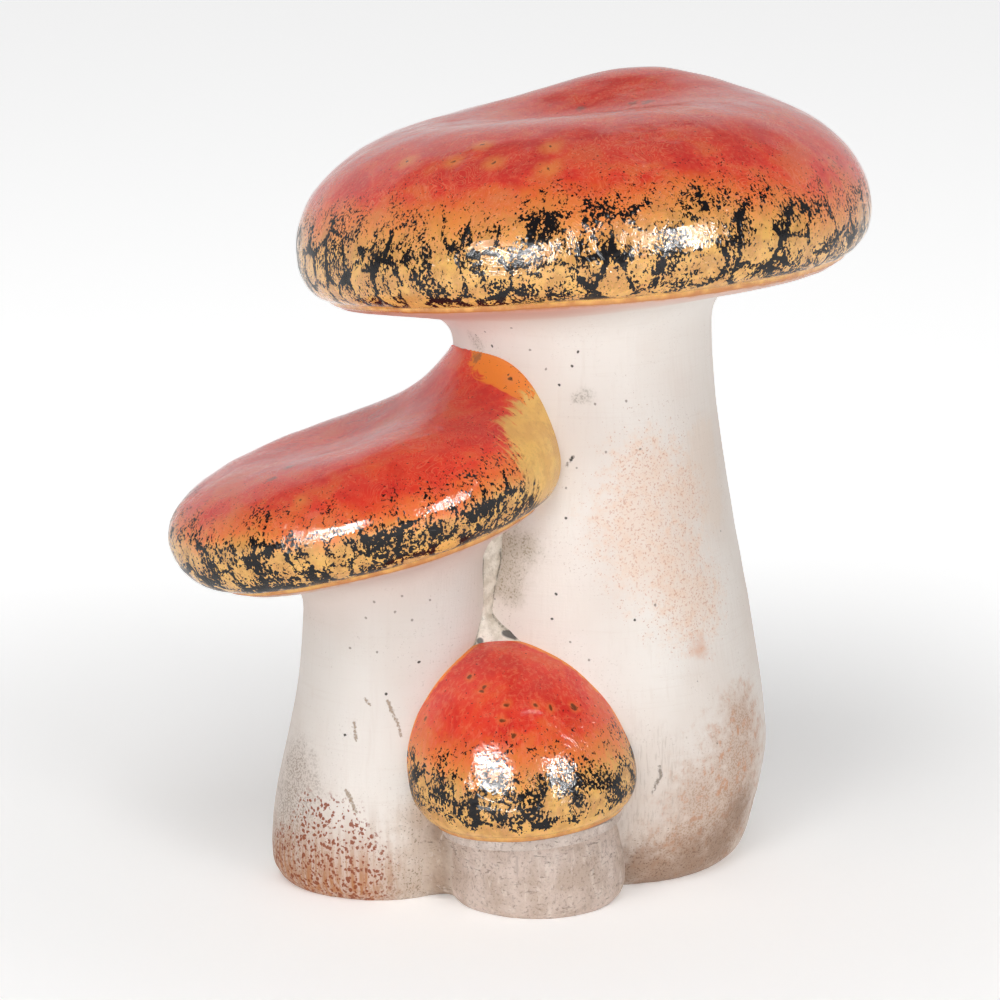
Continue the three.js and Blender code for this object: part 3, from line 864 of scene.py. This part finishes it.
def lay_bands(paint, look):
    """Ochre at the rim, then orange, then red."""
    streak = paint.noise((1.0, 1.0, 9), 3, 0.6, 0.5, look.seed + 29)
    sway, ragged = paint.slow.swing(look.sway), paint.ragged.swing(9)
    height = paint.low + sway + ragged + streak.swing(look.streak)
    ochre = paint.mix(paint.ragged.ramp(0.38, 0.62), OCHRE, BRIGHT_OCHRE)
    red = paint.mix(paint.cloud.ramp(0.44, 0.64), RED, DEEP_RED)
    low_share = height.ramp(look.red_from + 19, look.red_from + 2)
    thin = paint.cloud.ramp(0.5, 0.34) * low_share.scaled(0.3, 0.28)
    red = paint.mix(thin, red, ORANGE)
    blend = height.ramp(look.orange_from - look.blend, look.orange_from + 5)
    paint.colour = paint.mix(blend, ochre, ORANGE)
    paint.lay(red, height.ramp(look.red_from, look.red_from + 9))
    paint.lay(LIGHT_STROKE, streak.ramp(0.46, 0.66), look.strokes)


def lay_brush_loops(paint, look):
    """Loops and hairs left by the brush, which also stand up a little."""
    loops = paint.math("SINE", paint.noise(11, 1.5, 0.45, 1.6, look.seed + 13) * 150)
    fibres = paint.math("SINE", paint.noise(5, 1.5, 0.5, 1.2, look.seed + 19) * 90)
    patchy = paint.slow.ramp(0.4, 0.6)
    lines = loops.ramp(0.55, 1.0) * patchy
    hairs = fibres.ramp(0.8, 1.0) * paint.cloud.ramp(0.56, 0.44)
    paint.lay(LIGHT_STROKE, paint.most(lines, hairs), look.loops)
    paint.raise_by(loops, patchy, 0.014)
    paint.raise_by(hairs, 0.028)
    paint.raise_by(paint.noise(3.2, 3, 0.55, seed=look.seed + 23), 0.05)


def lay_bare_edge(paint, look):
    """Bare orange where a crown meets a stem, and yellow on one crown. Gives the yellow's share."""
    wall = paint.attribute("wall")
    drawn = paint.lines_along(wall, look.wall_drag)
    border = wall + drawn.swing(look.wall_fray) + paint.slow.swing(look.wall_fray)
    bare = border.ramp(look.wall_reach + 0.5, look.wall_reach - 0.5)
    bare = bare * paint.rim.ramp(look.wall_above, look.wall_above + 6)
    if not look.yellow:
        paint.lay(STRIP_ORANGE, bare)
        return None
    strip = paint.patch("strip", -0.1, 0.2, drawn.swing(1.4), paint.ragged.swing(0.6))
    paint.lay(STRIP_ORANGE, bare, strip)
    yellow = paint.patch("yellow", 0.1, 0.3, paint.ragged.swing(0.7), drawn.swing(0.6))
    paint.lay(paint.mix(paint.ragged.ramp(0.4, 0.6), YELLOW, BRIGHT_OCHRE), yellow)
    return yellow


def lay_black(paint, look, yellow):
    """Black sponged over the band, broken into cells, with a duller coat. Gives its share."""
    gap = paint.cells(paint.moved, look.cell, "DISTANCE_TO_EDGE", look.seed) * look.cell[0]
    river = gap.ramp(look.river, 0.25) * paint.cloud.ramp(0.4, 0.52)
    sway, ragged = paint.slow.swing(look.sway * 1.3), paint.ragged.swing(12)
    wander = paint.low + sway + ragged
    bottom = wander.ramp(look.black_from, look.black_from + 3)
    top = wander.ramp(look.black_to + 5, look.black_to - 15)
    fringe = wander.ramp(look.black_to + 13, look.black_to - 2)
    amount = river * look.flow + paint.dusted * look.dust + 0.13
    amount = amount * top + fringe * paint.dusted * 0.22
    limit = (bottom * amount).scaled(-0.4, 0.7)
    black = (paint.fine - limit).ramp(-0.006, 0.014)
    black = black * paint.ragged_rim.ramp(2.4, 3.6)
    if look.yellow:
        black = black * (1 - yellow * 0.92)
    paint.lay(BLACK, black)
    paint.put(paint.shader.inputs["Coat Weight"], black.scaled(-0.45, 1.0))
    return black


def lay_marks(paint, look, black):
    """Pits with a pale ring of thin glaze, grey stains, red rings, dark specks and the bare lip."""
    near = paint.spots(look.pits, look.halo, paint.moved)
    paint.lay(PIT_GLOW, near.ramp(0.0, 0.9), look.glow, 1 - black)
    paint.lay(PIT_BROWN, near.ramp(1 - look.pit / look.halo, 1 - 0.5 * look.pit / look.halo), 0.85)
    if look.stains:
        near = paint.spots(look.stains, 2.6, paint.moved) + paint.fine.swing(1.2)
        paint.lay(GREY_GREEN, near.ramp(0.2, 0.7), 0.55)
    if look.rings:
        near = paint.spots(look.rings, 6.5, paint.moved)
        ring = near.ramp(0.1, 0.22) * near.ramp(0.4, 0.24)
        paint.lay(DEEP_RED, ring, 0.35)
    specks = paint.cells(paint.place, (5.5, 5.5, 5.5), "F1", look.seed + 2)
    speck = specks.ramp(0.07, 0.04) * paint.dusted.ramp(0.75, 0.9)
    paint.lay(RED_SPECK, speck, 0.5)
    paint.lay(LIP, paint.ragged_rim.ramp(1.9, 0.3), 0.75)


def glaze(m, look):
    """Red over orange over ochre, up from the rim, with black sponged on in a broken band."""
    paint = Paint(m.name + "_glaze", 0.32, 1.0, look.gloss, 0.0)
    seed = look.seed
    paint.slow = paint.noise(20, 2, seed=seed)
    paint.ragged = paint.noise(4.5, 3, 0.6, seed=seed + 3)
    paint.cloud = paint.noise(13, 3, 0.58, 0.6, seed + 8)
    paint.dusted = paint.noise(7.5, 3, 0.62, seed=seed + 37).ramp(0.38, 0.62)
    paint.fine = paint.noise((0.62, 0.62, 0.85), 2, 0.6, seed=seed + 41)
    paint.moved = paint.shaken(2.6, 2.4, seed + 1)
    paint.rim = paint.attribute("rim")
    paint.ragged_rim = paint.rim + paint.ragged.swing(2.5)
    aside = paint.math("ABSOLUTE", paint.axis("X") - look.low_at)
    taller = aside.ramp(look.tall_from, look.tall_to, 1, look.tall)
    right = paint.axis("X").ramp(12, 60, 0, look.right_rise)
    paint.low = paint.rim * taller + right
    lay_bands(paint, look)
    lay_brush_loops(paint, look)
    yellow = lay_bare_edge(paint, look) if look.wall_reach else None
    black = lay_black(paint, look, yellow)
    lay_marks(paint, look, black)
    paint.raise_by(paint.fine, 0.05)
    return paint.finish()


# How the crowns are glazed, with heights from the rim in millimetres and marks under pixels
LOOKS = columns(
    seed=(0.0, 7.7, 15.3),
    gloss=(0.05, 0.03, 0.05),
    low_at=(-10, -20, -14),
    tall_from=(25, 38, 18),
    tall_to=(70, 68, 28),
    tall=(1.15, 0.8, 0.95),
    right_rise=(8, 0, 0),
    sway=(12, 9, 7),
    orange_from=(27, 16, 18),
    blend=(9, 2, 4),
    red_from=(28, 18, 21),
    streak=(5, 5, 9),
    strokes=(0.14, 0.08, 0.18),
    loops=(0.27, 0.2, 0.07),
    wall_reach=(0, 5, 0.8),
    wall_above=(0, 12, 9),
    wall_fray=(0, 4, 1.5),
    wall_drag=(None, (0.8, 14), (1, 10)),
    yellow=(False, True, False),
    cell=((8.5, 8.5, 10.5), (6.5, 6.5, 8), (4, 4, 4.8)),
    river=(0.88, 0.86, 0.5),
    flow=(0.56, 0.52, 0.4),
    black_from=(2, 0.6, 5),
    black_to=(34, 26, 25),
    dust=(0.29, 0.31, 0.36),
    halo=(4.6, 3.4, 2.3),
    glow=(0.72, 0.6, 0.4),
    pit=(0.62, 0.6, 0.85),
    pits=(
        [(453, 161), (494, 163), (548, 168), (551, 147), (408, 161), (482, 145)],
        [(511, 379), (300, 500)],
        [
            (470, 678), (484, 686), (482, 691), (507, 705), (502, 720), (515, 736), (535, 705), (549, 707),
            (575, 707), (425, 718),
        ],
    ),
    stains=([(648, 102), (634, 103), (614, 112), (582, 108)], [(288, 467), (272, 479), (476, 358)], []),
    rings=([(699, 98), (679, 153), (639, 123), (762, 125), (500, 132), (578, 130)], [], []),
)


# White clay of the two larger mushrooms

WHITE = (0.8, 0.745, 0.695)
WARM_WHITE = (0.755, 0.675, 0.615)
GRAIN_SHADE = (0.64, 0.53, 0.455)
RIM_SHADOW = (0.6, 0.58, 0.56)
UNDER_PINK = (0.62, 0.36, 0.28)
RED_BOUNCE_UNDER_LEFT = (0.5, 0.2, 0.14)
UNDER_CAP_SHADE = (0.5, 0.43, 0.39)
PEACH = (0.8, 0.57, 0.42)
PEACH_WASH = (0.78, 0.47, 0.3)
PEACH_DOT = (0.52, 0.2, 0.1)
BEIGE = (0.76, 0.63, 0.53)
RUST = (0.27, 0.062, 0.02)
RUST_WASH = (0.46, 0.19, 0.075)
TAN = (0.38, 0.2, 0.11)
BROWN_WASH = (0.56, 0.39, 0.29)
ORANGE_BROWN = (0.62, 0.25, 0.11)
DEEP_BROWN = (0.33, 0.215, 0.15)
DEEP_GRIT = (0.12, 0.07, 0.045)
GREY_BROWN = (0.27, 0.19, 0.135)
FOOT_STAIN = (0.55, 0.43, 0.345)
CORNER_DUST = (0.5, 0.38, 0.29)
SMUDGE_AND_SHADE = (0.42, 0.35, 0.26)
SMUDGE_GRIT = (0.2, 0.155, 0.1)
SCRATCH = (0.13, 0.09, 0.06)
NICK = (0.27, 0.17, 0.09)
DARK = (0.03, 0.022, 0.016)
SMALL_HOLE = (0.12, 0.085, 0.06)

# Pixels over single holes and specks
LARGE_PINHOLES = [
    (492, 346), (578, 352), (572, 366), (559, 385), (566, 518), (556, 594), (552, 619), (635, 620),
    (571, 460), (572, 458),
]
LARGE_SPECKS = [
    (476, 335), (485, 332), (511, 328), (546, 369), (566, 488), (595, 404), (626, 401), (530, 350),
    (606, 452), (655, 605), (640, 449), (589, 660), (570, 642),
]
MEDIUM_PINHOLES = [(345, 735), (386, 694), (419, 662)]
MEDIUM_SPECKS = [
    (374, 602), (402, 596), (366, 618), (395, 612), (430, 600), (350, 648), (377, 652), (412, 620),
]


def white_clay(name):
    """Off-white slip, brushed upright, with faint dirt and a stained foot."""
    paint = Paint(name, 0.55, 0.04, 0.35, 0.14)
    paint.edge = paint.attribute("edge")
    paint.slow = paint.noise(30, 3, seed=2.1)
    paint.grain = paint.noise((1.3, 1.3, 26), 3, 0.6, 0.3, 4.4)
    paint.speckle = paint.noise(0.52, 1.5, 0.6, seed=16.1)
    paint.mottle = paint.noise(3.0, 3, 0.66, seed=15.5)
    paint.rough = paint.mottle.swing(1.3)
    cross = paint.noise((18, 18, 0.9), 3, 0.6, 0.5, 6.6)
    wide = paint.noise(14, 2, seed=9.7)
    paint.colour = paint.mix(paint.slow.ramp(0.35, 0.68), WHITE, WARM_WHITE)
    paint.lay(GRAIN_SHADE, paint.grain.ramp(0.52, 0.78), 0.18)
    paint.lay(GRAIN_SHADE, cross.ramp(0.54, 0.74), 0.14)
    dirt = paint.speckle.ramp(0.62, 0.72) * wide.ramp(0.44, 0.62)
    paint.lay(GREY_BROWN, dirt, 0.28)
    paint.raise_by(paint.grain, 0.1)
    paint.raise_by(cross, 0.05)
    paint.raise_by(paint.speckle, 0.03)

    # the foot: streaks run up from it
    rise = paint.axis("Z") + paint.noise((6, 6, 30), 3, 0.6, seed=3.3).swing(30)
    share = rise.ramp(30, 0)
    streaks = paint.grain.ramp(0.42, 0.6)
    paint.lay(FOOT_STAIN, share, streaks.scaled(0.4, 0.34))
    dots = paint.speckle + share * 0.2
    paint.lay(GREY_BROWN, dots.ramp(0.74, 0.8), 0.45)

    # under the rim: the crown's colours come over the edge, and its red tints the white
    paint.lay(RIM_SHADOW, paint.edge.ramp(90, 30), 0.22)
    paint.lay(UNDER_PINK, paint.edge.ramp(34, 2), 0.66)
    ragged_edge = paint.edge + paint.mottle.swing(2.0)
    paint.lay(paint.mix(0.35, LIP, OCHRE), ragged_edge.ramp(5.2, 4.0))
    return paint


def add_holes(paint, holes, specks):
    moved = paint.shaken(0.9, 0.5)
    paint.lay(DARK, paint.spots(holes, 0.5, moved).ramp(0.1, 0.45), 0.95)
    paint.lay(SMALL_HOLE, paint.spots(specks, 0.45, moved).ramp(0.05, 0.5), 0.65)
    scattered = paint.cells(paint.place, (10, 10, 10), "F1", 6.3)
    small = scattered.ramp(0.034, 0.02) * paint.slow.ramp(0.46, 0.5)
    paint.lay(SMALL_HOLE, small, 0.6)


def lay_peach(paint):
    """The peach patch on the front of the large stem, with its dots and its beige side."""
    peach = paint.attribute("peach") + paint.rough
    paint.lay(PEACH, peach.ramp(-0.05, 0.8), 0.42)
    wash = peach.ramp(0.1, 0.7) * paint.mottle.ramp(0.46, 0.66)
    paint.lay(PEACH_WASH, wash, 0.26)
    dots = paint.speckle + peach.ramp(-0.35, 0.7) * 0.14
    dots = dots.ramp(0.71, 0.76)
    paint.lay(PEACH_DOT, dots, peach.ramp(-0.6, 0.0), 0.45)
    paint.lay(BEIGE, paint.patch("beige", -0.1, 0.6, paint.rough), 0.5)
    paint.lay(ORANGE_BROWN, paint.patch("smear", 0.1, 1.0, paint.rough), 0.45)


def lay_smudges_and_shade(paint):
    """Small dark smudges, and painted shade beside the strip between the stems."""
    grit = paint.speckle.ramp(0.46, 0.6)
    smudge = paint.patch("smudge", -0.1, 0.8, paint.rough)
    paint.lay(SMUDGE_GRIT, smudge, grit.scaled(0.35, 0.15))
    # painted shade in the groove beside the strip, with grit over it
    shade = paint.patch("shade", -0.15, 0.9, paint.mottle.swing(0.9))
    paint.lay(SMUDGE_AND_SHADE, shade, grit.scaled(0.35, 0.55))
    paint.lay(SMUDGE_GRIT, shade, paint.speckle.ramp(0.6, 0.68), 0.5)


def lay_brown_foot(paint):
    """Brown and rust sponged at the lower right."""
    stain = paint.patch("brown", -0.15, 0.9, paint.rough)
    paint.lay(BROWN_WASH, stain, 0.72)
    flecks = paint.speckle + stain * 0.17
    paint.lay(TAN, flecks.ramp(0.66, 0.72), 0.45, stain)
    rusty = paint.mottle.ramp(0.5, 0.62) * paint.grain.ramp(0.4, 0.6)
    paint.lay(ORANGE_BROWN, rusty, stain, 0.55)
    deep = paint.patch("deep", -0.5, 0.9, paint.rough)
    paint.lay(DEEP_BROWN, deep, 0.85)
    paint.lay(DEEP_GRIT, paint.speckle.ramp(0.56, 0.66), deep, 0.5)


def lay_scratches(paint):
    """Upright scratches above the foot, and a few single ones."""
    scored = paint.noise((0.55, 0.55, 7), 2, 0.6, 0.4, 8.3)
    scrape = paint.patch("scrape", -0.3, 0.7, paint.rough)
    paint.lay(GREY_BROWN, scrape, scored.ramp(0.5, 0.7), 0.32)
    paint.lay(GRAIN_SHADE, scrape, 0.35)
    paint.lay(SCRATCH, paint.patch("scratch", 0.2, 0.75, paint.speckle.swing(1.4)), 0.7)


def large_body_clay():
    paint = white_clay("large_white_clay")
    # painted red light bounced from the medium crown below, on the left of the large cap's underside
    paint.lay(RED_BOUNCE_UNDER_LEFT, paint.edge.ramp(42, 4), paint.axis("X").ramp(10, -16), 0.6)
    lay_peach(paint)
    lay_smudges_and_shade(paint)
    lay_brown_foot(paint)
    lay_scratches(paint)
    add_holes(paint, LARGE_PINHOLES, LARGE_SPECKS)
    return paint.finish()


def lay_rust(paint):
    """Rust-red prints over a wash at the left foot."""
    rust = paint.attribute("rust") + paint.rough
    low = (paint.axis("Z") + paint.mottle.swing(5)).ramp(29, 25)
    wash = rust.ramp(-0.5, 0.5) * paint.axis("Z").ramp(24, 4)
    drawn = paint.grain.ramp(0.36, 0.62)
    paint.lay(RUST_WASH, wash, drawn.scaled(0.55, 0.42))
    printed = paint.cells(paint.shaken(0.9, 1.1, 3.1), (1.05, 1.05, 1.2), "F1", 2.7)
    marks = (printed + paint.mottle.swing(1.1)).ramp(0.42, 0.31)
    paint.lay(RUST, marks, rust.ramp(-0.15, 0.15), low, 0.95)


def medium_body_clay():
    paint = white_clay("medium_white_clay")
    # painted shade under the medium cap, on its underside and the top of its stem
    paint.lay(UNDER_CAP_SHADE, paint.edge.ramp(44, 6), 0.4)
    dusty = paint.speckle.ramp(0.48, 0.58)
    left = paint.patch("left_dust", -0.2, 0.8, paint.rough)
    paint.lay(GREY_BROWN, left, dusty.scaled(0.48, 0.2))
    lay_rust(paint)
    fill = paint.patch("fill_dust", -0.3, 0.9, paint.rough)
    paint.lay(CORNER_DUST, fill, 0.6)
    paint.lay(SMUDGE_GRIT, fill, paint.speckle.ramp(0.58, 0.66), 0.7)
    paint.lay(NICK, paint.patch("mark", 0.25, 0.8, paint.speckle.swing(1.6)), 0.75)
    add_holes(paint, MEDIUM_PINHOLES, MEDIUM_SPECKS)
    return paint.finish()


# Raw clay and slip

RAW_SPECK = (0.24, 0.165, 0.13)
RAW_WASH = (0.8, 0.7, 0.62)
RAW_SHADE = (0.36, 0.26, 0.21)
RAW_SCORE = (0.22, 0.15, 0.11)
SMALL_SLIP = (0.57, 0.47, 0.41), (0.72, 0.62, 0.56)
SMALL_RAW = (0.54, 0.41, 0.33), (0.69, 0.56, 0.49)
FOOT_RAW = (0.36, 0.25, 0.18), (0.5, 0.38, 0.29)
FOOT_RAW_EDGE = (0.6, 0.49, 0.41)
PALE_SLIP = (0.8, 0.735, 0.64)
SHADED_SLIP = (0.58, 0.51, 0.41)
SLIP_CRACK = (0.07, 0.06, 0.045)
SLIP_GRIT = (0.25, 0.21, 0.16)


def raw_clay(name, colours, rough, edges=None):
    """Matt clay with fine speckle, scars and a thin wash of slip."""
    paint = Paint(name, 0.75, 0.0, 0.3, 0.2)
    speckle = paint.noise(0.8, 3, 0.64, seed=4.9)
    drag = paint.noise((2.4, 2.4, 6), 4, 0.65, 0.6, 6.9)
    paint.colour = paint.mix(paint.noise(9, 4, 0.6, seed=3.9).ramp(0.36, 0.66), *colours)
    paint.lay(RAW_SPECK, speckle.ramp(0.54, 0.66), 0.5)
    paint.lay(RAW_WASH, drag.ramp(0.52, 0.66), 0.45)
    paint.lay(RAW_SHADE, drag.ramp(0.42, 0.32), 0.4)
    if edges:
        across = paint.attribute("across")
        side = paint.most(across.ramp(0.42, 0.0), across.ramp(0.58, 1.0))
        paint.lay(edges, side, 0.85)
    scored = paint.noise((3.0, 3.0, 0.7), 2, 0.6, 1.2, 12.1)
    scored = scored.ramp(0.6, 0.68) * drag.ramp(0.46, 0.56)
    paint.lay(RAW_SCORE, scored, 0.55)
    paint.raise_by(scored, -0.25)
    paint.raise_by(speckle, rough)
    paint.raise_by(drag, rough)
    return paint.finish()


def slip_strip(name, cracked, hollow=False):
    """Pale slip pressed into a groove, cracked along its edges."""
    paint = Paint(name, 0.6, 0.05, 0.35, 0.2)
    mottle = paint.noise(3, 4, 0.66, seed=1.3)
    speckle = paint.noise(0.8, 3, 0.65, seed=4.7)
    across = paint.attribute("across")
    moved = across + paint.noise(4, 3, 0.6, seed=2.4).swing(0.3)
    left = moved.ramp(0.03, 0.07) * moved.ramp(0.13, 0.08)
    right = moved.ramp(0.97, 0.93) * moved.ramp(0.87, 0.92)
    crack = paint.most(left, right) * mottle.ramp(0.45, 0.58)
    edge = paint.most(across.ramp(0.3, 0.0), across.ramp(0.7, 1.0))
    paint.colour = paint.mix(mottle.ramp(0.38, 0.66), PALE_SLIP, SHADED_SLIP)
    # both long edges of the strip darker, where it meets the stems
    paint.lay(SMUDGE_AND_SHADE, edge, 0.4)
    paint.lay(SLIP_CRACK, crack, cracked)
    paint.lay(SLIP_GRIT, speckle.ramp(0.58, 0.7), 0.4)
    if hollow:
        # painted shade in the hollow at the toe of the front strip
        paint.lay(DARK, paint.attribute("toe_hollow_shade").ramp(0.05, 0.5), 0.92)
    paint.raise_by(crack, -0.2)
    paint.raise_by(mottle, 0.35)
    paint.raise_by(speckle, 0.08)
    return paint.finish()


def dress(pieces, material):
    for piece in pieces:
        piece.data.materials.append(material)


for m, look in zip((LARGE, MEDIUM, SMALL), LOOKS):
    dress([crowns[m.name]], glaze(m, look))
dress(bodies["large"], large_body_clay())
dress(bodies["medium"], medium_body_clay())
dress(bodies["small"][:2], raw_clay("small_slip_clay", SMALL_SLIP, 0.24))
dress(bodies["small"][2:], raw_clay("small_raw_clay", SMALL_RAW, 0.32))
dress([seams["front"]], slip_strip("front_slip", 0.65, hollow=True))
dress([seams["back"]], slip_strip("back_slip", 0.35))
dress([seams["foot"]], raw_clay("foot_raw_clay", FOOT_RAW, 0.2, FOOT_RAW_EDGE))


make_world()
make_lights()
SCENE.view_settings.view_transform = "Standard"
